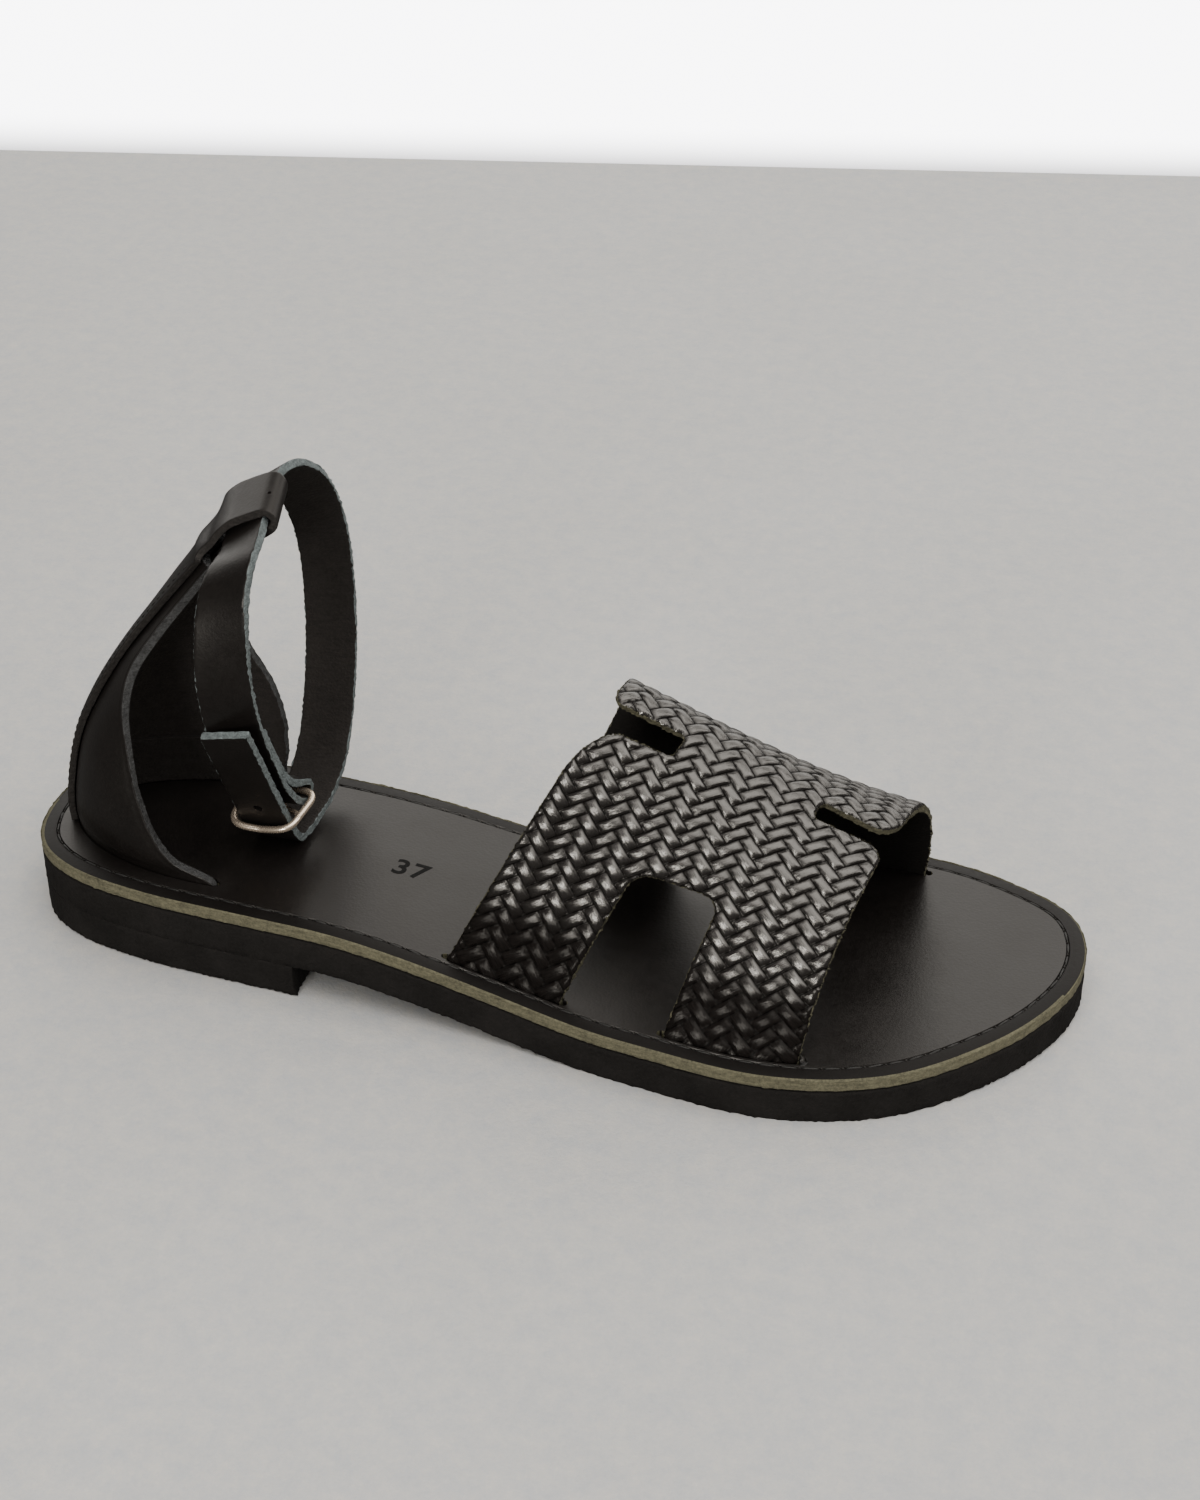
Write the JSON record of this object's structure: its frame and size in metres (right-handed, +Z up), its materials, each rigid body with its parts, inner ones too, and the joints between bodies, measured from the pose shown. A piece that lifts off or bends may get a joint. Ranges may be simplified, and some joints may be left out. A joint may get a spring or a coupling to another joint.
{
  "type": "ankle strap sandal",
  "caption": "Flat open-toed sandal for the right foot: wide woven band over the forefoot, stiff heel counter, back strip with a loop, and an ankle strap to a side buckle.",
  "frame": {"origin": "centre of the bounding box in plan, at the floor", "axes": "+X from heel to toe, +Y towards the inner side of the foot, +Z up"},
  "size_m": [0.25, 0.0913, 0.1157],
  "materials": {
    "sole_rubber": "matte black moulded rubber",
    "footbed_leather": "satin black smooth leather with an olive raw edge",
    "woven_leather": "glossy black leather in a close braid, olive raw edge",
    "counter_leather": "satin black grained leather",
    "strap_leather": "satin black fine-grained leather, grey raw edge",
    "buckle_metal": "polished warm silver"
  },
  "bodies": {
    "root": {"heel_lift": "sole_rubber", "outsole": "sole_rubber", "insole": "footbed_leather", "front_strap": "woven_leather", "heel_counter": "counter_leather", "back_strip": "strap_leather", "ankle_strap": "strap_leather", "buckle_frame": "buckle_metal", "buckle_prong": "buckle_metal", "strap_rivet": "buckle_metal"}
  },
  "joints": []
}
